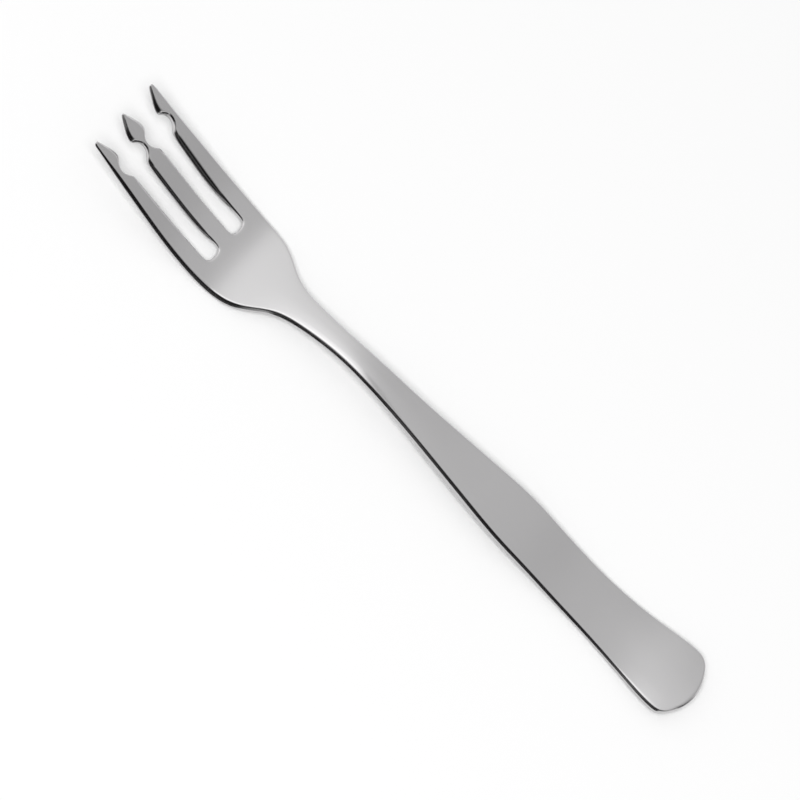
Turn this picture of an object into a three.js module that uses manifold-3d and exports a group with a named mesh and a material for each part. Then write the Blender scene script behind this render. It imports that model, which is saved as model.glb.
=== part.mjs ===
// Three-tined steak fork, pressed from one sheet of stainless steel.
//
// X runs from the tips to the end of the handle, Y across, Z up from the table. The origin is on the
// table under the middle of the fork's length. The fork lies tines up, on the underside of its bowl and
// on the low part of its handle.
//
// The blank is lofted through sections along the length, which gives the pressed profile, the thickness
// and the rounded rim. One comb-shaped punch then cuts the tines free: two tapering slots, a round notch
// across each slot behind the tips, and the bevelled, barbed tips themselves.

import * as THREE from "three";
import * as BufferGeometryUtils from "three/addons/utils/BufferGeometryUtils.js";
import Module from "manifold-3d";

// Lengths along the fork, millimetres, from the tips to the end of the handle
const headReach = 38;
const bowlReach = 8;
const shoulderReach = 10;
const neckReach = 24;
const crestReach = 9;
const gripReach = 33;
const bulgeReach = 18;
const waistReach = 17;
const restReach = 15;
const flareReach = 19.5;
const endReach = 8.5;

// Half widths
const tipHalfSpan = 11.72;
const headHalfWidth = 13.52;
const neckHalfWidth = 3.9;
const bulgeHalfWidth = 8;
const waistHalfWidth = 7.83;
const endHalfWidth = 10.65;

// Heights of the underside over the table
const tipHeight = 10.3;
const shoulderHeight = 1.15;
const neckHeight = 4.25;
const crestHeight = 4.35;
const gripHeight = 2.65;
const bulgeHeight = 2.2;
const waistHeight = 0.85;
const flareHeight = 0.65;
const endHeight = 1.3;

// Thicknesses at the edges
const tipThickness = 0.75;
const bowlThickness = 1.75;
const shoulderThickness = 1.95;
const neckThickness = 1.75;
const crestThickness = 2;
const gripThickness = 2.75;
const bulgeThickness = 2.15;
const waistThickness = 1.65;
const restThickness = 1.9;
const endThickness = 2.15;

// Surface shape: rise of the outer tines' edges over the middle tine, rise of the neck's rounded top in
// the middle, and drop of its underside there
const tineDish = 0.45;
const neckCrown = 0.55;
const neckKeel = 0.5;

// Radii of the rounded rim, along the top and along the underside
const tipRim = 0.25;
const headTopRim = 0.5;
const headLowRim = 1.1;
const neckTopRim = 0.6;
const neckLowRim = 0.9;
const gripTopRim = 0.6;
const gripLowRim = 0.5;

// Half lengths of the two flats that the fork lies on
const bowlFlat = 2;
const handleFlat = 2.5;

// Outline of the handle's end, and how far its edge leans out at the bottom for each unit of height
const endCornerRadius = 7.2;
const endArcRadius = 16.5;
const endLean = 0.1;

// Slots, from the tips to their roots, from the fork's centreline to each slot's own, and half way
// across a slot
const slotLength = 40.2;
const slotOffsetAtRoot = 5.1;
const slotOffsetAtTips = 5.5;
const slotHalfWidthAtRoot = 2.6;
const slotHalfWidthAtTips = 3.2;
const slotCornerRadius = 1.4;

// Tips: rounded noses, the bevel up to the barb, then the notch in each side of a tine. The barb's back
// turns into the notch at the entry angle, which is measured from the notch's deepest point.
const middleNoseRadius = 0.4;
const outerNoseRadius = 0.6;
const bevelAngle = THREE.MathUtils.degToRad(24.2);
const barbRound = 0.4;
const notchAt = 9.35;
const notchRadius = 3.1;
const notchDepth = 1.7;
const entryAngle = THREE.MathUtils.degToRad(42);

// Overrun of the punch and of the blank beyond what is cut
const overrun = 0.5;

// Longest step of the loft, and steps of the rim and of the arcs
const ringSpacing = 2.4;
const rimSteps = 3;
const arcSteps = 5;

// Outline between its main stations, as shares of the change from the one to the other.
// Each row: along, half width.
const headOutline = [
  [0.53, 0.59],
];
const shoulderOutline = [
  [0.19, 0.05], [0.29, 0.13], [0.38, 0.33], [0.48, 0.635], [0.57, 0.83], [0.71, 0.94],
];
const gripOutline = [
  [0.15, 0.06], [0.35, 0.2], [0.53, 0.43], [0.75, 0.73], [0.9, 0.945],
];
const flareOutline = [
  [0.29, 0.09], [0.55, 0.35], [0.73, 0.61], [0.88, 0.89],
];

// Profile between its main stations, in the same way.
// Each row: along, underside, thickness, crown, keel, dish, top rim, low rim.
const tineProfile = [
  [0.14, 0.195, 0.5, 0, 0, 0, 0.3, 0.5],
  [0.45, 0.59, 0.97, 0, 0, 0.07, 0.7, 0.9],
  [0.75, 0.88, 0.95, 0, 0, 0.55, 1, 1],
];
const neckProfile = [
  [0.21, 0.23, 0.75, 0.35, 0.35, 0, 0.3, 0.3],
  [0.5, 0.54, 1.75, 0.8, 0.85, 0, 0.9, 0.9],
];
const gripProfile = [
  [0.36, 0.29, 0.4, 0.5, 0.4, 0, 0.5, 0.5],
  [0.7, 0.635, 0.73, 0.85, 0.75, 0, 0.85, 0.85],
];
const bulgeProfile = [
  [0.5, 0.2, 0.75, 0, 0, 0, 0, 0],
];
const waistProfile = [
  [0.47, 0.58, 0.25, 0, 0, 0, 0, 0],
];
const flareProfile = [
  [0.62, 0.42, 0.33, 0, 0, 0, 0, 0],
];

// Places of a section's points across its flat part, and of the last rings round the handle's end:
// how far each has turned the corner, and how much of the rim's radius it is drawn in by
const acrossShares = [-1, -0.5, 0, 0.5, 1];
const endShares = [
  [0, 0], [0.2, 0], [0.4, 0], [0.6, 0], [0.78, 0], [0.9, 0.05], [0.97, 0.3], [1, 0.75],
];

// Places along the fork
const headAt = headReach;
const bowlAt = headAt + bowlReach;
const shoulderAt = bowlAt + shoulderReach;
const neckAt = shoulderAt + neckReach;
const crestAt = neckAt + crestReach;
const gripAt = crestAt + gripReach;
const bulgeAt = gripAt + bulgeReach;
const waistAt = bulgeAt + waistReach;
const restAt = waistAt + restReach;
const flareAt = restAt + flareReach;
const overallLength = flareAt + endReach;

function between(from, to, shareRows) {
  return shareRows.map((shares) => from.map((value, i) => value + (to[i] - value) * shares[i]));
}

function curveThrough(stations) {
  return new THREE.CubicInterpolant(
    stations.map((station) => station[0]),
    stations.flatMap((station) => station.slice(1)),
    stations[0].length - 1,
  );
}

// Stations of the outline: along, half width
const tipsOut = [0, tipHalfSpan];
const headOut = [headAt, headHalfWidth];
const neckOut = [neckAt, neckHalfWidth];
const bulgeOut = [bulgeAt, bulgeHalfWidth];
const waistOut = [waistAt, waistHalfWidth];
const flareOut = [flareAt, endHalfWidth];
const outline = [
  tipsOut,
  ...between(tipsOut, headOut, headOutline),
  headOut,
  ...between(headOut, neckOut, shoulderOutline),
  neckOut,
  ...between(neckOut, bulgeOut, gripOutline),
  bulgeOut,
  waistOut,
  ...between(waistOut, flareOut, flareOutline),
  flareOut,
  [overallLength, endHalfWidth],
];
const outlineCurve = curveThrough(outline);

// Stations of the profile: along, underside, thickness, crown, keel, dish, top rim, low rim
const tips = [0, tipHeight, tipThickness, 0, 0, tineDish, tipRim, tipRim];
const bowlShape = [0, bowlThickness, 0, 0, 0, headTopRim, headLowRim];
const bowlFront = [bowlAt - bowlFlat, ...bowlShape];
const bowlBack = [bowlAt + bowlFlat, ...bowlShape];
const shoulder = [shoulderAt, shoulderHeight, shoulderThickness, 0, 0, 0, headTopRim, headLowRim];
const neckShape = [neckCrown, neckKeel, 0, neckTopRim, neckLowRim];
const neck = [neckAt, neckHeight, neckThickness, ...neckShape];
const crest = [crestAt, crestHeight, crestThickness, ...neckShape];
const gripShape = [0, 0, 0, gripTopRim, gripLowRim];
const grip = [gripAt, gripHeight, gripThickness, ...gripShape];
const bulge = [bulgeAt, bulgeHeight, bulgeThickness, ...gripShape];
const waist = [waistAt, waistHeight, waistThickness, ...gripShape];
const restFront = [restAt - handleFlat, 0, restThickness, ...gripShape];
const restBack = [restAt + handleFlat, 0, restThickness, ...gripShape];
const flare = [flareAt, flareHeight, endThickness, ...gripShape];
const profile = [
  tips,
  ...between(tips, bowlFront, tineProfile),
  bowlFront,
  bowlBack,
  shoulder,
  ...between(shoulder, neck, neckProfile),
  neck,
  crest,
  ...between(crest, grip, gripProfile),
  grip,
  ...between(grip, bulge, bulgeProfile),
  bulge,
  ...between(bulge, waist, waistProfile),
  waist,
  restFront,
  restBack,
  ...between(restBack, flare, flareProfile),
  flare,
  [overallLength, endHeight, endThickness, ...gripShape],
];
const profileCurve = curveThrough(profile);

function halfWidthAt(along) {
  return outlineCurve.evaluate(along)[0];
}

// The section's sizes at a distance along the fork. The underside is flat where it meets the table.
function sectionAt(along) {
  const sizes = [...profileCurve.evaluate(along)].map((size) => Math.max(size, 0));
  const [underside, thickness, crown, keel, dish, topRim, lowRim] = sizes;
  return { underside, thickness, crown, keel, dish, topRim, lowRim };
}

// One ring of points round the section, anticlockwise seen from the handle's end. A bowed ring has its
// edges nearer to the tips than its middle, a drawn-in one is thinner and keeps its width, and a leaning
// one reaches further at the bottom than at the top.
function ring(along, halfWidth, bow = 0, drawnShare = 0, lean = 0) {
  const { topRim, lowRim } = sectionAt(along - bow);
  const points = [];
  const add = (y, side, fromFace) => {
    const share = y / halfWidth;
    const inside = 1 - share * share;
    const size = sectionAt(along - bow * share * share);
    const low = size.underside + size.dish * share * share;
    const underside = low + size.keel * share * share + fromFace;
    const top = low + size.keel + size.thickness + size.crown * inside - fromFace;
    const height = side > 0 ? size.thickness - fromFace : fromFace;
    const x = along - bow * share * share - lean * (height - lowRim * drawnShare);
    points.push(new THREE.Vector3(x, y, side > 0 ? top : underside));
  };
  // The underside has side -1 and the top 1, and the hand is the edge's side of the centreline
  const face = (hand, side) => {
    const rim = side > 0 ? topRim : lowRim;
    for (const share of acrossShares) add(hand * (halfWidth - rim) * share, side, rim * drawnShare);
  };
  const corner = (hand, side, steps) => {
    const rim = side > 0 ? topRim : lowRim;
    for (const step of steps) {
      const turn = (Math.PI / 2) * (step / rimSteps);
      const fromFace = rim * (drawnShare + (1 - drawnShare) * (1 - Math.cos(turn)));
      add(hand * (halfWidth - rim + rim * Math.sin(turn)), side, fromFace);
    }
  };
  const outward = Array.from({ length: rimSteps }, (_, i) => i + 1);
  const inward = [...outward].reverse();
  face(1, -1);
  corner(1, -1, outward);
  corner(1, 1, inward);
  face(-1, 1);
  corner(-1, 1, outward);
  corner(-1, -1, inward);
  return points;
}

// Rings from in front of the tips to the start of the handle's rounded corners
function lengthRings(cornerAt) {
  const stationPlaces = [...outline, ...profile].map((station) => station[0]);
  const places = [...new Set(stationPlaces)].filter((place) => place < cornerAt);
  places.push(cornerAt);
  places.sort((a, b) => a - b);
  const rings = [ring(-overrun, tipHalfSpan)];
  for (let i = 0; i + 1 < places.length; i++) {
    const steps = Math.ceil((places[i + 1] - places[i]) / ringSpacing);
    for (let step = 0; step < steps; step++) {
      const along = THREE.MathUtils.lerp(places[i], places[i + 1], step / steps);
      rings.push(ring(along, halfWidthAt(along)));
    }
  }
  return rings;
}

// Bowed rings round the corners into the shallow arc that ends the handle
function endRings(cornerAt, cornerHalf, cornerTurn) {
  const lastEdge = cornerAt + endCornerRadius * Math.sin(cornerTurn);
  return endShares.map(([turnShare, drawnShare]) => {
    const turn = cornerTurn * turnShare;
    const bow = (overallLength - lastEdge) * turnShare;
    const along = cornerAt + endCornerRadius * Math.sin(turn) + bow;
    const halfWidth = cornerHalf + endCornerRadius * Math.cos(turn);
    return ring(along, halfWidth, bow, drawnShare, endLean * turnShare);
  });
}

function blankGeometry() {
  const cornerHalf = endHalfWidth - endCornerRadius;
  const arcCentreAt = overallLength - endArcRadius;
  const cornerAt = arcCentreAt + Math.sqrt((endArcRadius - endCornerRadius) ** 2 - cornerHalf ** 2);
  const cornerTurn = Math.PI / 2 - Math.atan2(cornerHalf, cornerAt - arcCentreAt);
  const rings = [...lengthRings(cornerAt), ...endRings(cornerAt, cornerHalf, cornerTurn)];

  const count = rings[0].length;
  const index = [];
  const quad = (a, b, c, d) => index.push(a, b, d, b, c, d);
  for (let j = 0; j + 1 < rings.length; j++) {
    for (let i = 0; i < count; i++) {
      const next = (i + 1) % count;
      quad(j * count + i, j * count + next, (j + 1) * count + next, (j + 1) * count + i);
    }
  }
  // Both ends are closed by strips from the lower half of the ring to the upper half
  const last = (rings.length - 1) * count;
  for (let k = 0; k + 1 < count / 2; k++) {
    const low = (count - rimSteps + k) % count;
    const lowNext = (low + 1) % count;
    const high = count - rimSteps - 1 - k;
    quad(high, high - 1, lowNext, low);
    quad(last + low, last + lowNext, last + high - 1, last + high);
  }
  const geometry = new THREE.BufferGeometry().setFromPoints(rings.flat());
  geometry.setIndex(index);
  return geometry;
}

// Outline of the punch on one side of the centreline, from outside the outer tine's tip to the middle
// tine's nose
function punchSide() {
  const outerNose = tipHalfSpan - outerNoseRadius;
  const outerEdge = slotOffsetAtTips + slotHalfWidthAtTips;
  const innerEdge = slotOffsetAtTips - slotHalfWidthAtTips;
  const rise = outerNose - outerEdge - outerNoseRadius * Math.cos(bevelAngle);
  const middleRise = innerEdge - middleNoseRadius * Math.cos(bevelAngle);
  const bevelFrom = 1 - Math.sin(bevelAngle);
  const outerBarbAt = outerNoseRadius * bevelFrom + rise / Math.tan(bevelAngle);
  const innerBarbAt = middleNoseRadius * bevelFrom + middleRise / Math.tan(bevelAngle);
  const roundX = barbRound * Math.cos(bevelAngle);
  const roundY = barbRound * Math.sin(bevelAngle);
  const centreInside = notchRadius - notchDepth;
  const endAngle = Math.asin(centreInside / notchRadius);
  const entryX = notchRadius * Math.sin(entryAngle);
  const entryY = notchRadius * Math.cos(entryAngle) - centreInside;
  const backAt = notchAt - entryX - entryY / Math.tan(entryAngle);
  const rootAt = slotLength - slotCornerRadius;
  const rootOuter = slotOffsetAtRoot + slotHalfWidthAtRoot - slotCornerRadius;
  const rootInner = slotOffsetAtRoot - slotHalfWidthAtRoot + slotCornerRadius;
  const quarter = Math.PI / 2;

  const path = new THREE.Path();
  path.moveTo(-overrun, tipHalfSpan + overrun);
  path.lineTo(outerNoseRadius, tipHalfSpan + overrun);
  path.absarc(outerNoseRadius, outerNose, outerNoseRadius, quarter, 3 * quarter - bevelAngle, false);
  path.lineTo(outerBarbAt - roundX, outerEdge + roundY);
  path.quadraticCurveTo(outerBarbAt, outerEdge, outerBarbAt + barbRound, outerEdge);
  path.quadraticCurveTo(backAt, outerEdge, notchAt - entryX, outerEdge + entryY);
  path.absarc(notchAt, outerEdge - centreInside, notchRadius, quarter + entryAngle, endAngle, true);
  path.absarc(rootAt, rootOuter, slotCornerRadius, quarter, 0, true);
  path.absarc(rootAt, rootInner, slotCornerRadius, 0, -quarter, true);
  path.absarc(notchAt, innerEdge + centreInside, notchRadius, -endAngle, -quarter - entryAngle, true);
  path.quadraticCurveTo(backAt, innerEdge, innerBarbAt + barbRound, innerEdge);
  path.quadraticCurveTo(innerBarbAt, innerEdge, innerBarbAt - roundX, innerEdge - roundY);
  path.absarc(middleNoseRadius, 0, middleNoseRadius, quarter + bevelAngle, 2 * quarter, false);
  return path.getPoints(arcSteps);
}

function punchGeometry() {
  const side = punchSide();
  const mirrored = side.map((point) => new THREE.Vector2(point.x, -point.y)).reverse();
  const outline = new THREE.Shape([...side, ...mirrored.slice(1)]);
  const depth = tipHeight + tipThickness + tineDish + 2 * overrun;
  const geometry = new THREE.ExtrudeGeometry(outline, { depth, bevelEnabled: false });
  return geometry.translate(0, 0, -overrun);
}

const wasm = await Module();
wasm.setup();

function toSolid(geometry) {
  const bare = geometry.clone();
  bare.deleteAttribute("normal");
  bare.deleteAttribute("uv");
  const merged = BufferGeometryUtils.mergeVertices(bare);
  return new wasm.Manifold(new wasm.Mesh({
    numProp: 3,
    vertProperties: new Float32Array(merged.attributes.position.array),
    triVerts: new Uint32Array(merged.index.array),
  }));
}

function toGeometry(solid) {
  const { vertProperties, triVerts } = solid.getMesh();
  const geometry = new THREE.BufferGeometry();
  geometry.setAttribute("position", new THREE.BufferAttribute(vertProperties, 3));
  geometry.setIndex(new THREE.BufferAttribute(triVerts, 1));
  geometry.computeVertexNormals();
  return geometry;
}

const polishedSteel = new THREE.MeshStandardMaterial({ color: 0xc6c5c6, roughness: 0.22, metalness: 1 });

const forkSolid = toSolid(blankGeometry()).subtract(toSolid(punchGeometry()));
const fork = new THREE.Mesh(toGeometry(forkSolid), polishedSteel);
fork.name = "fork";
fork.position.x = -overallLength / 2;

const steakFork = new THREE.Group();
steakFork.add(fork);

export default steakFork;
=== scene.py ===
import math

import bmesh
import bpy
from mathutils import Matrix, Vector


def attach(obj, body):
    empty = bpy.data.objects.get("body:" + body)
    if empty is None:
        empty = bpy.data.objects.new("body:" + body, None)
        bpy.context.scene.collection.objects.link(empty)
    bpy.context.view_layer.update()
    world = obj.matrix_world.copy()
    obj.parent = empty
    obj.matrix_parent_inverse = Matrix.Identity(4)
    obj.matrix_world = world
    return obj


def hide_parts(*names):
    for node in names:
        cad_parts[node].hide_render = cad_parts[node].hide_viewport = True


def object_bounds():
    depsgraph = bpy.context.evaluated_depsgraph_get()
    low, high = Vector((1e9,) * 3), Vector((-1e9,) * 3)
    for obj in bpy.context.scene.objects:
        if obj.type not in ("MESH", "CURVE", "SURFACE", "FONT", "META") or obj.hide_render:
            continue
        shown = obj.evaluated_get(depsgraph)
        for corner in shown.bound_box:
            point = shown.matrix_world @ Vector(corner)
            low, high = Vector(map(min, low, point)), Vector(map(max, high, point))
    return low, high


# A three-tined steak fork, pressed from stainless steel, lying tines up on a white table.
# Sizes along the fork are in millimetres from the tips; everything placed in the scene is in metres.

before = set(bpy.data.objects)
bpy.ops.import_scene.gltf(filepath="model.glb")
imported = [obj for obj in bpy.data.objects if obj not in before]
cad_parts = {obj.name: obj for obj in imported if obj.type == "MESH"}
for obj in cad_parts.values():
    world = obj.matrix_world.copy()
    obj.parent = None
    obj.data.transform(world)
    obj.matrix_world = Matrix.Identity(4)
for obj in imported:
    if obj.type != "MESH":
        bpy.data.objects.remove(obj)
cad_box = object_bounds()

# Sizes

MM = 0.001

# The fork's length, from the frame
LENGTH = round((cad_box[1][0] - cad_box[0][0]) / MM, 3)


def smooth_curve(points):
    """A natural cubic spline through points (along, value), returned as a function."""
    xs = [p[0] for p in points]
    ys = [p[1] for p in points]
    n = len(xs)
    gaps = [xs[i + 1] - xs[i] for i in range(n - 1)]
    below = [0.0] * n
    slope = [0.0] * n
    for i in range(1, n - 1):
        turn = 6 * ((ys[i + 1] - ys[i]) / gaps[i] - (ys[i] - ys[i - 1]) / gaps[i - 1])
        pivot = 2 * (gaps[i - 1] + gaps[i]) - gaps[i - 1] * below[i - 1]
        below[i] = gaps[i] / pivot
        slope[i] = (turn - gaps[i - 1] * slope[i - 1]) / pivot
    bend = [0.0] * n
    for i in range(n - 2, 0, -1):
        bend[i] = slope[i] - below[i] * bend[i + 1]

    def value(along):
        i = max(0, min(n - 2, sum(1 for x in xs[1:-1] if x <= along)))
        a = (xs[i + 1] - along) / gaps[i]
        b = 1 - a
        ease = ((a ** 3 - a) * bend[i] + (b ** 3 - b) * bend[i + 1]) * gaps[i] ** 2 / 6
        return a * ys[i] + b * ys[i + 1] + ease

    return value


# Half the fork's width, the height of its upper edge, and how far its middle rises above the edges.
# Below zero the face is dished.
half_width = smooth_curve([
    (0, 11.9), (10, 12.48), (20, 13.0), (29, 13.37), (38, 13.495), (44, 13.28), (49, 12.58), (52, 11.52),
    (55, 9.67), (58, 7.5), (61, 5.92), (65, 4.9), (71, 4.22), (79, 3.93), (89, 4.24), (101, 4.9),
    (112, 5.92), (125, 7.2), (134, 8.02), (140, 8.23), (147, 8.13), (157, 8.08), (167, 8.28), (176, 8.95),
    (182, 9.65), (188, 10.46), (192, 10.72), (200, 10.65),
])
top_edge = smooth_curve([
    (0, 11.5), (10, 8.95), (20, 6.3), (30, 3.75), (38, 2.33), (46, 1.75), (54, 2.7), (62, 4.02),
    (72, 5.58), (80, 6.5), (88, 6.8), (98, 6.55), (110, 6.0), (122, 5.42), (132, 4.88), (140, 4.35),
    (148, 3.53), (156, 2.66), (164, 2.1), (172, 1.92), (182, 2.12), (190, 2.68), (200, 3.45),
])
crown = smooth_curve([
    (0, -0.45), (20, -0.42), (33, -0.2), (42, 0.02), (50, 0.2), (56, 0.38), (68, 0.54), (78, 0.54),
    (89, 0.42), (101, 0.22), (112, 0.08), (122, 0), (150, 0), (170, 0.06), (180, 0.3), (190, 0.66),
    (200, 0.8),
])

# The steel's thickness at the edges, and how much more the underside has along the middle
edge_thickness = smooth_curve([
    (0, 0.75), (6, 1.25), (14, 1.62), (30, 1.7), (46, 1.74), (56, 1.95), (68, 1.62), (80, 1.75),
    (89, 2.0), (105, 2.4), (122, 2.75), (131, 2.37), (140, 2.15), (149, 1.98), (157, 1.67),
    (166, 1.72), (172, 1.9), (190, 2.15), (200, 2.15),
])
keel = smooth_curve([
    (0, 0), (44, 0), (56, 0.2), (68, 0.42), (80, 0.5), (89, 0.42), (101, 0.2), (112, 0.07), (122, 0),
    (200, 0),
])

# Widths of the broken rims: the outside edges above and below
top_rim = smooth_curve([
    (0, 0.16), (3, 0.35), (8, 0.6), (20, 0.72), (35, 0.66), (42, 0.8), (48, 0.9), (54, 0.94),
    (60, 0.86), (66, 0.62), (73, 0.48), (82, 0.46), (90, 0.52), (100, 0.68), (122, 0.92), (140, 0.72),
    (157, 0.52), (172, 0.52), (190, 0.6), (200, 0.6),
])
low_rim = smooth_curve([
    (0, 0.3), (6, 0.45), (14, 0.7), (30, 0.7), (40, 0.5), (48, 0.42), (54, 0.5), (60, 0.6), (70, 0.7),
    (80, 0.8), (100, 0.85), (112, 0.7), (122, 0.5), (140, 0.55), (157, 0.7), (166, 0.68),
    (175, 0.55), (190, 0.45), (200, 0.5),
])

# How gently the upper face turns over into its outside rim: the width of the turn
rim_turn = smooth_curve([
    (0, 0.35), (22, 0.35), (32, 0.7), (44, 0.95), (56, 0.85), (66, 0.5), (76, 0.35), (100, 0.35),
    (150, 0.35), (174, 0.45), (188, 0.8), (200, 0.85),
])

# Widths of the broken rims along the slots, first on the middle tine and then on the outer ones
middle_rim = smooth_curve([
    (0, 0.12), (1.5, 0.35), (3, 0.75), (5.2, 1.0), (6.6, 0.9), (7.6, 0.45), (8.4, 0.12), (9.35, 0.06),
    (10.4, 0.1), (11.6, 0.3), (13, 0.4), (16, 0.25), (41, 0.3),
])
outer_rim = smooth_curve([
    (0, 0.12), (1.5, 0.28), (4, 0.7), (6.4, 0.8), (7.5, 0.5), (8.4, 0.12), (9.35, 0.06), (10.4, 0.08),
    (11.6, 0.18), (13, 0.25), (30, 0.25), (41, 0.3),
])
middle_low_rim = smooth_curve([
    (0, 0.15), (4, 0.3), (7, 0.28), (9.35, 0.2), (11.5, 0.3), (13.2, 0.8), (16, 1.2), (30, 1.2),
    (36, 0.85), (41, 0.35),
])
outer_low_rim = smooth_curve([
    (0, 0.15), (4, 0.3), (7, 0.3), (9.35, 0.25), (12, 0.5), (14, 0.7), (30, 0.7), (36, 0.5), (41, 0.35),
])

# A tine's side at its tip, as the depth inside the slot's straight edge: the bevel, barb and notch
tip_cut = smooth_curve([
    (0, 2.1), (0.5, 1.77), (2, 1.05), (3.3, 0.48), (4.2, 0.16), (5.0, -0.04), (5.8, -0.1), (6.4, -0.02),
    (6.9, 0.28), (7.3, 0.66), (7.7, 1.04), (8.3, 1.44), (8.8, 1.6), (9.35, 1.64), (9.9, 1.58),
    (10.6, 1.36), (11.2, 1.02), (11.7, 0.6), (12.1, 0.2), (12.6, 0),
])
TIP_CUT_ENDS = 12.6

# How much the head of the middle tine is wider than the cut leaves it
head_swell = smooth_curve([(0, 0), (2, 0.1), (5, 0.2), (6.6, 0.18), (8.2, 0), (13, 0)])

# How far the foot of a slot's side reaches beyond its upper edge: on the outer tines, then the middle one
outer_foot = smooth_curve([
    (0, 0), (1.5, 0.2), (4, 0.5), (5.5, 0.72), (6.6, 0.85), (7.5, 0.75), (8.4, 0.62), (9.35, 0.6),
    (10.4, 0.62), (11.6, 0.75), (13, 1.1), (16, 1.3), (28, 1.3), (33, 0.8), (37, 0.15), (40, 0),
])
middle_foot = smooth_curve([
    (0, 0), (1.5, 0.06), (3, 0.16), (5, 0.28), (6.5, 0.38), (7.5, 0.3), (8.4, 0.15), (9.35, 0.1),
    (10.4, 0.15), (11.6, 0.45), (13.2, 0.95), (16, 1.2), (28, 1.2), (35, 1.0), (38, 0.6), (40, 0),
])

# The slots: where they end, where their middle runs and half their width, at the tips and at the root
SLOT_ROOT = 40.2
SLOT_AT_TIPS = 5.5
SLOT_AT_ROOT = 5.1
SLOT_HALF_AT_TIPS = 3.2
SLOT_HALF_AT_ROOT = 2.6


def slot_sides(along):
    """The two edges of a slot: on the middle tine, and on the outer one."""
    share = max(0, (along - TIP_CUT_ENDS) / (SLOT_ROOT - TIP_CUT_ENDS))
    centre = SLOT_AT_TIPS + (SLOT_AT_ROOT - SLOT_AT_TIPS) * share
    half = SLOT_HALF_AT_TIPS + (SLOT_HALF_AT_ROOT - SLOT_HALF_AT_TIPS) * share
    cut = tip_cut(along) if along < TIP_CUT_ENDS else 0
    swell = head_swell(along) if along < TIP_CUT_ENDS else 0
    return centre - half - cut + swell, centre + half + cut


# Shares of a row's flat part at which it has its points. The slot takes the third to the fifth, and
# the one at its middle, counted from 0, is SLOT_POINT.
COLUMN_SHARES = [0, 0.12, 0.203, 0.415, 0.626, 0.72, 0.862, 1]
SLOT_POINT = 3

# Rows of the handle's rounded end: the edge point's place and half width, and how far the middle is ahead
END_ROWS = [
    (197.75, 7.5, 2.07), (196.05, 9.6, 2.3), (194.4, 10.65, 2.05), (191.8, 10.8, 1.3), (188.0, 10.5, 0.5),
]

# Where the other rows lie: along the handle, neck and bowl, and then along the tines
HANDLE_ROWS = [
    182.5, 177, 171.5, 166, 160, 154, 148, 143, 138.5, 134, 128, 121, 113, 105, 97, 90, 83.5, 77.5, 72,
    67.5, 64, 61, 58.5, 56, 53.5, 51, 48.5, 46, 43.8, 41.8,
]
TINE_ROWS = [
    38.2, 35.5, 31, 26, 21, 17, 14.5, 13.2, 12.4, 11.75, 11.0, 10.2, 9.35, 8.5, 7.85, 7.35, 6.9, 6.4, 5.9,
    5.2, 4.3, 3.2, 2.0, 1.0, 0.45, 0.16,
]

# The row at the slots' roots: where its widths are read, and its points from the centreline to past the slot
ROOT_ROW = 40
ROOT_POINTS = [
    (39.9, 0), (39.9, 1.7), (39.95, 2.75), (40.35, SLOT_AT_ROOT), (39.95, 7.45), (39.9, 8.6),
]

# The points that hold the tines' rims: how far inside a slot's rim they are, the middle tine's least share
# of its half width, and the outer tine's largest shares of its width from the slot and from the edge
RIM_SUPPORT = 0.3
MIDDLE_SUPPORT_SHARE = 0.45
OUTER_SUPPORT_SHARE = 0.3
EDGE_SUPPORT_SHARE = 0.4

# The outside corner of an outer tine's point: how much is rounded off, and over what length
POINT_ROUNDING = 0.35
POINT_LENGTH = 1.1

# What counts as a slot's edge: up to so far past its root, and farther than this from the outside edge
PAST_ROOT = 0.6
OUTSIDE_MARGIN = 0.8

# Where the leaning slot sides end, and how near to the centreline a point stays where it is
FEET_END = 38
ON_CENTRELINE = 0.05

# The thickness that a vertex weight of 1 stands for, and the rim that an edge weight of 1 stands for
THICKEST = 4.0
WIDEST_RIM = 1.5

# Upright parts of a normal: a wall has less than the first, and a face or underside more than the second
WALL = 0.5
LEVEL = 0.7

# An edge is sharp where the cosine between its two faces is under this
SHARP = 0.55

# Places in the scene, in metres, that count as the same, and a move that is too small to make
SAME_PLACE = 1e-6
NO_MOVE = 1e-7


def place(along, across):
    """The point of the fork's upper face at a distance from the tips and from the centreline."""
    share = across / half_width(along)
    height = top_edge(along) + crown(along) * (1 - share * share)
    return Vector(((along - LENGTH / 2) * MM, across * MM, height * MM))


# Modelling

def deselect_all():
    bpy.ops.object.select_all(action="DESELECT")


def pick_points(obj, points):
    """Selects, in edit mode, only the vertices at these places."""
    bpy.ops.mesh.select_all(action="DESELECT")
    mesh = bmesh.from_edit_mesh(obj.data)
    for vertex in mesh.verts:
        if any((vertex.co - point).length < SAME_PLACE for point in points):
            vertex.select = True
    mesh.select_flush(True)
    bmesh.update_edit_mesh(obj.data)


def move_point(obj, start, end):
    """Moves, in edit mode, the vertex at one place to another."""
    if (end - start).length > NO_MOVE:
        pick_points(obj, [start])
        bpy.ops.transform.translate(value=end - start)


def extrude_row(obj, row, new_row):
    """Pulls a row of points out into a new one, and sets each point of it in its place."""
    pick_points(obj, row)
    step = new_row[0] - row[0]
    bpy.ops.mesh.extrude_region_move(TRANSFORM_OT_translate={"value": step})
    for point, end in zip(row, new_row):
        move_point(obj, point + step, end)


def pulled_in(rows):
    """Rows set out a little at each bend, so that the smoothed surface passes through the given ones.

    The smoothing moves a point by a sixth of its bend, so it is set out by as much.
    """
    result = [list(row) for row in rows]
    for i in range(1, len(rows) - 1):
        for j, point in enumerate(rows[i]):
            if j < len(rows[i - 1]) and j < len(rows[i + 1]):
                result[i][j] = point + (2 * point - rows[i - 1][j] - rows[i + 1][j]) / 6
    return result


def rim_band(along):
    """How far the outside rim and its turn reach in from the edge."""
    return max(top_rim(along), low_rim(along)) + rim_turn(along)


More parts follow.
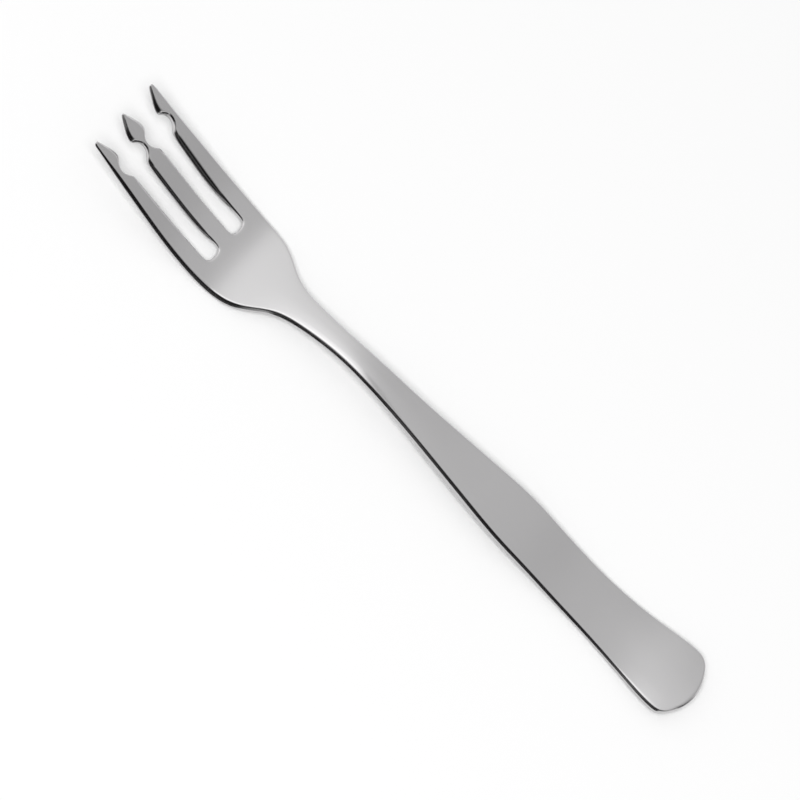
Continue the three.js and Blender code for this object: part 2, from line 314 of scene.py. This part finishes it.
def row_points(edge_at, half, ahead=0):
    """A row from the centreline to the edge. Its last but one point holds the rim's inner side."""
    flat = half - rim_band(edge_at)
    acrosses = [flat * share for share in COLUMN_SHARES] + [half]
    return [place(edge_at + ahead * (1 - (across / half) ** 2), across) for across in acrosses]


def body_row(along):
    return row_points(along, half_width(along))


def root_row():
    """The row that holds the slot's rounded root between its third and fifth points."""
    half = half_width(ROOT_ROW)
    flat = half - rim_band(ROOT_ROW)
    along, inner = ROOT_POINTS[-1]
    outside = [(along, (inner + flat) / 2), (along, flat), (along, half)]
    return [place(*point) for point in ROOT_POINTS + outside]


def middle_row(along):
    """A row of the middle tine, from the centreline to its slot side."""
    edge = slot_sides(along)[0]
    support = max(edge - middle_rim(along) - RIM_SUPPORT, MIDDLE_SUPPORT_SHARE * edge)
    return [place(along, 0), place(along, support), place(along, edge)]


def outer_row(along):
    """A row of an outer tine, from its slot side to the outside edge."""
    inner = slot_sides(along)[1]
    edge = half_width(along) - POINT_ROUNDING * max(0, 1 - along / POINT_LENGTH) ** 2
    width = edge - inner
    first = inner + min(outer_rim(along) + RIM_SUPPORT, OUTER_SUPPORT_SHARE * width)
    last = edge - min(rim_band(along), EDGE_SUPPORT_SHARE * width)
    return [place(along, across) for across in (inner, first, (first + last) / 2, last, edge)]


def model_fork():
    """Half of the upper face, pulled out row by row from the handle's end to the tips."""
    body_rows = [row_points(*row) for row in END_ROWS] + [body_row(along) for along in HANDLE_ROWS]
    body_rows.append(root_row())
    middle_rows = [middle_row(along) for along in TINE_ROWS]
    outer_rows = [outer_row(along) for along in TINE_ROWS]
    middle = pulled_in([row[:SLOT_POINT] for row in body_rows] + middle_rows)
    outer = pulled_in([row[SLOT_POINT + 1:] for row in body_rows] + outer_rows)
    slot = pulled_in([row[SLOT_POINT:SLOT_POINT + 1] for row in body_rows])
    count = len(body_rows)
    body = [middle[i] + slot[i] + outer[i] for i in range(count)]
    body[-1] = body_rows[-1]

    deselect_all()
    steps = len(COLUMN_SHARES)
    bpy.ops.mesh.primitive_grid_add(x_subdivisions=1, y_subdivisions=steps, size=1)
    fork = bpy.context.object
    fork.name = "steak_fork"
    bpy.ops.object.mode_set(mode="EDIT")
    bpy.ops.mesh.select_mode(type="VERT")
    for i in range(2):
        for j in range(steps + 1):
            move_point(fork, Vector((0.5 - i, j / steps - 0.5, 0)), body[i][j])
    for i in range(2, count):
        extrude_row(fork, body[i - 1], body[i])
    # The tines are pulled out of the row at the slot's root, the middle one as half a tine
    last = body[-1][:SLOT_POINT]
    for row in middle[count:]:
        extrude_row(fork, last, row)
        last = row
    last = body[-1][SLOT_POINT + 1:]
    for row in outer[count:]:
        extrude_row(fork, last, row)
        last = row
    bpy.ops.mesh.select_all(action="SELECT")
    bpy.ops.mesh.normals_make_consistent(inside=False)
    bpy.ops.object.mode_set(mode="OBJECT")
    if sum(polygon.normal.z for polygon in fork.data.polygons) < 0:
        fork.data.flip_normals()
    return fork


def apply_modifier(obj, name, kind, **settings):
    """Adds a modifier with these settings and applies it."""
    modifier = obj.modifiers.new(name, kind)
    for key, value in settings.items():
        setattr(modifier, key, value)
    bpy.context.view_layer.objects.active = obj
    bpy.ops.object.modifier_apply(modifier=modifier.name)


def along_of(point):
    """How far a point of the scene lies from the tips."""
    return point.x / MM + LENGTH / 2


def thicken(fork):
    """Mirrors the half sheet and gives it the steel's thickness, which changes along and across it."""
    apply_modifier(
        fork, "other half", "MIRROR", use_axis=(False, True, False), use_clip=True,
        merge_threshold=SAME_PLACE,
    )
    group = fork.vertex_groups.new(name="thickness")
    for vertex in fork.data.vertices:
        along = along_of(vertex.co)
        share = min(1, abs(vertex.co.y) / MM / half_width(along))
        thick = edge_thickness(along) + (max(crown(along), 0) + keel(along)) * (1 - share * share)
        group.add([vertex.index], thick / THICKEST, "REPLACE")
    apply_modifier(
        fork, "sheet", "SOLIDIFY", thickness=THICKEST * MM, offset=-1, vertex_group="thickness",
        use_rim=True, use_even_offset=False,
    )


def in_slot(point):
    """Whether a point of an edge belongs to the slots and not to the outside."""
    along = along_of(point)
    return along < SLOT_ROOT + PAST_ROOT and abs(point.y) / MM < half_width(along) - OUTSIDE_MARGIN


def spread_feet(fork):
    """Moves the lower edge of each tine's slot sides out a little, so that the sides lean."""
    bpy.context.view_layer.objects.active = fork
    bpy.ops.object.mode_set(mode="EDIT")
    mesh = bmesh.from_edit_mesh(fork.data)
    feet = []
    for vertex in mesh.verts:
        if not vertex.is_manifold or not in_slot(vertex.co):
            continue
        along = along_of(vertex.co)
        across = abs(vertex.co.y) / MM
        walls = [face for face in vertex.link_faces if abs(face.normal.z) < WALL]
        under = [face for face in vertex.link_faces if face.normal.z < -LEVEL]
        if along > FEET_END or not walls or not under:
            continue
        on_middle = across < SLOT_AT_TIPS
        reach = middle_foot(along) if on_middle else -outer_foot(along)
        shift = reach * MM * (1 if vertex.co.y > 0 else -1)
        if abs(shift) > SAME_PLACE and across > ON_CENTRELINE:
            feet.append((vertex.co.copy(), Vector((0, shift, 0))))
    for start, shift in feet:
        move_point(fork, start, start + shift)
    bpy.ops.object.mode_set(mode="OBJECT")


def round_rims(fork):
    """Breaks and rounds the upper and lower edges, each with its own width at each place."""
    mesh = bmesh.new()
    mesh.from_mesh(fork.data)
    mesh.normal_update()
    weights = mesh.edges.layers.float.new("bevel_weight_edge")
    for edge in mesh.edges:
        if len(edge.link_faces) != 2:
            continue
        a, b = edge.link_faces
        if a.normal.dot(b.normal) > SHARP:
            continue
        flat = a if abs(a.normal.z) > abs(b.normal.z) else b
        if abs(flat.normal.z) < LEVEL:
            continue
        middle = (edge.verts[0].co + edge.verts[1].co) / 2
        along = along_of(middle)
        on_middle = abs(middle.y) / MM < SLOT_AT_TIPS
        if not in_slot(middle):
            rim = top_rim(along) if flat.normal.z > 0 else low_rim(along)
        elif on_middle:
            rim = middle_rim(along) if flat.normal.z > 0 else middle_low_rim(along)
        else:
            rim = outer_rim(along) if flat.normal.z > 0 else outer_low_rim(along)
        edge[weights] = rim / WIDEST_RIM
    mesh.to_mesh(fork.data)
    mesh.free()
    apply_modifier(
        fork, "rims", "BEVEL", width=WIDEST_RIM * MM, segments=3, profile=0.25,
        limit_method="WEIGHT", use_clamp_overlap=False, offset_type="OFFSET",
    )


def set_on_table(fork):
    """Lifts or lowers the fork until its lowest point is at the table's height."""
    bpy.context.view_layer.objects.active = fork
    bpy.ops.object.mode_set(mode="EDIT")
    bpy.ops.mesh.select_all(action="SELECT")
    lowest = min(vertex.co.z for vertex in bmesh.from_edit_mesh(fork.data).verts)
    bpy.ops.transform.translate(value=(0, 0, -lowest))
    bpy.ops.object.mode_set(mode="OBJECT")


def finish_mesh(obj):
    """Turns all faces outwards, shades them smooth and drops the weights of the thickness."""
    bpy.context.view_layer.objects.active = obj
    bpy.ops.object.mode_set(mode="EDIT")
    bpy.ops.mesh.select_all(action="SELECT")
    bpy.ops.mesh.normals_make_consistent(inside=False)
    bpy.ops.object.mode_set(mode="OBJECT")
    for polygon in obj.data.polygons:
        polygon.use_smooth = True
    obj.vertex_groups.clear()


fork = model_fork()
thicken(fork)
spread_feet(fork)
round_rims(fork)
apply_modifier(fork, "smooth", "SUBSURF", levels=2, render_levels=2)
set_on_table(fork)
finish_mesh(fork)


# Materials

def new_material(name):
    """A new material, with its nodes, its links and its own shader."""
    material = bpy.data.materials.new(name)
    material.use_nodes = True
    nodes = material.node_tree.nodes
    return material, nodes, material.node_tree.links, nodes["Principled BSDF"]


def steel_material():
    """Stainless steel with a satin polish, its fine marks running along the fork."""
    material, nodes, links, shader = new_material("satin polished steel")
    shader.inputs["Metallic"].default_value = 1.0
    where = nodes.new("ShaderNodeTexCoord")

    # Broad, faint clouding of the polish. Sockets 6, 7 and 2 are the two colours and the result of a mix.
    clouds = nodes.new("ShaderNodeTexNoise")
    clouds.inputs["Scale"].default_value = 60
    clouds.inputs["Detail"].default_value = 4
    links.new(where.outputs["Object"], clouds.inputs["Vector"])
    colour = nodes.new("ShaderNodeMix")
    colour.data_type = "RGBA"
    colour.inputs[6].default_value = (0.556, 0.549, 0.553, 1)
    colour.inputs[7].default_value = (0.584, 0.577, 0.581, 1)
    links.new(clouds.outputs["Fac"], colour.inputs[0])
    links.new(colour.outputs[2], shader.inputs["Base Color"])

    # Polishing marks, drawn out along the fork
    stretch = nodes.new("ShaderNodeMapping")
    stretch.inputs["Scale"].default_value = (120, 2200, 900)
    links.new(where.outputs["Object"], stretch.inputs["Vector"])
    marks = nodes.new("ShaderNodeTexNoise")
    marks.inputs["Scale"].default_value = 1
    marks.inputs["Detail"].default_value = 5
    marks.inputs["Roughness"].default_value = 0.6
    links.new(stretch.outputs["Vector"], marks.inputs["Vector"])

    # The marks and the clouding together set how rough the steel is
    blend = nodes.new("ShaderNodeMix")
    blend.data_type = "FLOAT"
    blend.inputs[0].default_value = 0.4
    links.new(marks.outputs["Fac"], blend.inputs[2])
    links.new(clouds.outputs["Fac"], blend.inputs[3])
    rough = nodes.new("ShaderNodeMapRange")
    rough.inputs["From Min"].default_value = 0.35
    rough.inputs["From Max"].default_value = 0.65
    rough.inputs["To Min"].default_value = 0.13
    rough.inputs["To Max"].default_value = 0.2
    links.new(blend.outputs[0], rough.inputs["Value"])
    links.new(rough.outputs["Result"], shader.inputs["Roughness"])

    bump = nodes.new("ShaderNodeBump")
    bump.inputs["Strength"].default_value = 0.2
    bump.inputs["Distance"].default_value = 0.000004
    links.new(marks.outputs["Fac"], bump.inputs["Height"])
    links.new(bump.outputs["Normal"], shader.inputs["Normal"])
    return material


fork.data.materials.clear()
fork.data.materials.append(steel_material())

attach(fork, "root")
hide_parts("fork")


# Stage

def card(name, centre, towards, width, height, along_stops, up_stops=None, peak=1.0):
    """A card, cloth or lamp box that shows only in the steel. Its light changes along it and up it.

    The stops are (metres from the card's middle, share of the peak). Without up_stops it is even upwards.
    """
    if up_stops is None:
        up_stops = [(-height / 2, 1.0), (height / 2, 1.0)]
    deselect_all()
    bpy.ops.mesh.primitive_plane_add(size=1)
    plane = bpy.context.object
    plane.name = name
    normal = (Vector(towards) - Vector(centre)).normalized()
    up = (Vector((0, 0, 1)) - normal * normal.z).normalized()
    across = up.cross(normal)
    # The stops always run towards the handle's end
    if across.x < 0:
        across, normal = -across, -normal
    plane.data.transform(Matrix.Diagonal((width, height, 1, 1)))
    turn = Matrix((across, up, normal)).transposed().to_4x4()
    turn.translation = Vector(centre)
    plane.matrix_world = turn
    material, nodes, links, shader = new_material(name)
    nodes.remove(shader)
    where = nodes.new("ShaderNodeTexCoord")
    parts = nodes.new("ShaderNodeSeparateXYZ")
    links.new(where.outputs["Object"], parts.inputs["Vector"])
    shares = []
    for axis, size, stops in (("X", width, along_stops), ("Y", height, up_stops)):
        spread = nodes.new("ShaderNodeMapRange")
        spread.inputs["From Min"].default_value = -size / 2
        spread.inputs["From Max"].default_value = size / 2
        links.new(parts.outputs[axis], spread.inputs["Value"])
        ramp = nodes.new("ShaderNodeValToRGB")
        ramp.color_ramp.interpolation = "EASE"
        while len(ramp.color_ramp.elements) < len(stops):
            ramp.color_ramp.elements.new(0.5)
        for element, (at, share) in zip(ramp.color_ramp.elements, stops):
            element.position = at / size + 0.5
            element.color = (share, share, share, 1)
        links.new(spread.outputs["Result"], ramp.inputs["Fac"])
        shares.append(ramp.outputs["Color"])
    both = nodes.new("ShaderNodeMath")
    both.operation = "MULTIPLY"
    links.new(shares[0], both.inputs[0])
    links.new(shares[1], both.inputs[1])
    level = nodes.new("ShaderNodeMath")
    level.operation = "MULTIPLY"
    level.inputs[1].default_value = peak
    links.new(both.outputs["Value"], level.inputs[0])
    glow = nodes.new("ShaderNodeEmission")
    links.new(level.outputs["Value"], glow.inputs["Strength"])
    links.new(glow.outputs["Emission"], nodes["Material Output"].inputs["Surface"])
    plane.data.materials.append(material)
    plane.visible_camera = False
    plane.visible_diffuse = False
    plane.visible_shadow = False
    plane.visible_transmission = False
    plane.visible_volume_scatter = False


TABLE_SIZE = 12
TABLE_GAP = 0.0001


def floor():
    """A plain white table top, a hair below the fork."""
    deselect_all()
    bpy.ops.mesh.primitive_plane_add(size=TABLE_SIZE, location=(0, 0, -TABLE_GAP))
    table = bpy.context.object
    table.name = "white table"
    bpy.ops.object.transform_apply(location=True, rotation=True, scale=True)
    material, _, _, shader = new_material("white table")
    shader.inputs["Base Color"].default_value = (0.95, 0.95, 0.95, 1)
    shader.inputs["Roughness"].default_value = 0.9
    shader.inputs["Specular IOR Level"].default_value = 0
    table.data.materials.append(material)


def daylight(fill):
    """White all round for the camera and in the steel, and a dimmer fill on what it lights."""
    world = bpy.data.worlds.new("white studio")
    bpy.context.scene.world = world
    world.use_nodes = True
    nodes = world.node_tree.nodes
    links = world.node_tree.links
    background = nodes["Background"]
    background.inputs["Color"].default_value = (1, 1, 1, 1)
    path = nodes.new("ShaderNodeLightPath")
    seen = path.outputs["Is Camera Ray"]
    for name in ("Is Glossy Ray", "Is Transmission Ray"):
        either = nodes.new("ShaderNodeMath")
        either.operation = "MAXIMUM"
        links.new(seen, either.inputs[0])
        links.new(path.outputs[name], either.inputs[1])
        seen = either.outputs["Value"]
    level = nodes.new("ShaderNodeMapRange")
    level.inputs["To Min"].default_value = fill
    level.inputs["To Max"].default_value = 1
    links.new(seen, level.inputs["Value"])
    links.new(level.outputs["Result"], background.inputs["Strength"])


def soft_lamp(name, stand, size, watts):
    """A large lamp that lights the table from where it stands, and isn't seen in the steel."""
    data = bpy.data.lights.new(name, "AREA")
    data.shape = "RECTANGLE"
    data.size, data.size_y = size
    data.energy = watts
    lamp = bpy.data.objects.new(name, data)
    bpy.context.scene.collection.objects.link(lamp)
    lamp.location = stand
    lamp.rotation_euler = (-Vector(stand)).to_track_quat("-Z", "Y").to_euler()
    lamp.visible_glossy = False


floor()
daylight(fill=0.5)

# On the camera's side of the fork, so that the shadow falls behind it
soft_lamp("soft lamp", stand=(-0.37, -2.08, 3.39), size=(2.0, 1.7), watts=108)

# What the upper face and its crowned parts mirror
card(
    "far card", centre=(0, 1.25, 1.45), towards=(0, 0, 0), width=5.0, height=1.454, peak=1.3,
    along_stops=[
        (-2.5, 0.85), (-0.45, 0.93), (-0.3, 0.9), (-0.15, 0.84), (0, 0.74), (0.08, 0.69), (0.2, 0.64),
        (0.28, 0.605), (0.38, 0.59), (0.6, 0.59), (0.78, 0.52), (1.0, 0.47), (2.5, 0.45),
    ],
    up_stops=[(-0.727, 0.82), (0.1, 0.92), (0.5, 1.0), (0.727, 1.12)],
)
card(
    "overhead lamp box", centre=(0, -0.0375, 2.2), towards=(0, 0, 0), width=4.0, height=1.675, peak=1.95,
    along_stops=[(-2, 1.0), (0.06, 1.0), (0.2, 0.42), (0.6, 0.38), (0.9, 0.3), (2, 0.3)],
    up_stops=[(-0.8375, 0.3), (0.04, 0.4), (0.2, 1.0), (0.35, 1.0), (0.585, 0.8), (0.8375, 0.6)],
)

# What the near rims mirror: black cloth, with a grey hem between its hanging and its lying part
card(
    "dark cloth, hanging", centre=(0.3, -1.0847, 1.371), towards=(0.3, 0.2653, 0.521),
    width=3.0, height=1.305,
    along_stops=[
        (-1.5, 0.8), (-1.2, 0.25), (-0.52, 0.22), (-0.36, 0.008), (0.7, 0.008), (0.9, 0.12), (1.2, 0.2),
        (1.5, 0.8),
    ],
)
card(
    "grey hem of the cloth", centre=(0.3, -1.5138, 0.69), towards=(0.3, -0.1638, -0.16),
    width=3.0, height=0.305,
    along_stops=[
        (-1.5, 0.8), (-1.2, 0.3), (-0.52, 0.24), (-0.36, 0.1), (0.7, 0.1), (0.9, 0.18), (1.2, 0.3),
        (1.5, 0.8),
    ],
)
card(
    "dark cloth, on the table", centre=(0.3, -1.737, 0.337), towards=(0.3, 0, 0), width=2.2, height=0.7,
    along_stops=[(-1.1, 0.8), (-0.8, 0.02), (0.75, 0.01), (1.1, 0.6)],
)

# What the handle's rounded end mirrors
card(
    "dark card by the handle", centre=(1.75, -0.25, 0.5), towards=(0, -0.25, 0.1), width=2.6, height=1.1,
    along_stops=[(-1.3, 1.0), (-0.7, 0.4), (-0.4, 0.1), (0.4, 0.06), (0.9, 0.1), (1.3, 0.2)],
    up_stops=[(-0.55, 0.6), (0.55, 1.0)],
)


# Camera

ELEVATION = math.radians(58.039)
AZIMUTH = math.radians(-10.056)
ROLL = math.radians(-52.923)
DISTANCE = 1.5
TARGET = Vector((-0.002626, 0.003653, 0))
PIXELS_PER_MM = 4.098
PICTURE_WIDTH = 800
SENSOR_WIDTH = 36


def place_camera():
    """The camera, aimed at the target from its elevation and azimuth, and turned about its own axis."""
    right = Vector((math.cos(AZIMUTH), math.sin(AZIMUTH), 0))
    up = Vector((
        -math.sin(AZIMUTH) * math.sin(ELEVATION), math.cos(AZIMUTH) * math.sin(ELEVATION),
        math.cos(ELEVATION),
    ))
    back = right.cross(up)
    turned_right = right * math.cos(ROLL) - up * math.sin(ROLL)
    turned_up = right * math.sin(ROLL) + up * math.cos(ROLL)
    data = bpy.data.cameras.new("camera")
    data.sensor_width = SENSOR_WIDTH
    data.lens = PIXELS_PER_MM / MM * DISTANCE / PICTURE_WIDTH * SENSOR_WIDTH
    data.clip_start = 0.01
    data.clip_end = 50
    camera = bpy.data.objects.new("camera", data)
    bpy.context.scene.collection.objects.link(camera)
    turn = Matrix((turned_right, turned_up, back)).transposed().to_4x4()
    turn.translation = TARGET + back * DISTANCE
    camera.matrix_world = turn
    bpy.context.scene.camera = camera


place_camera()

bpy.context.scene.view_settings.view_transform = "Standard"
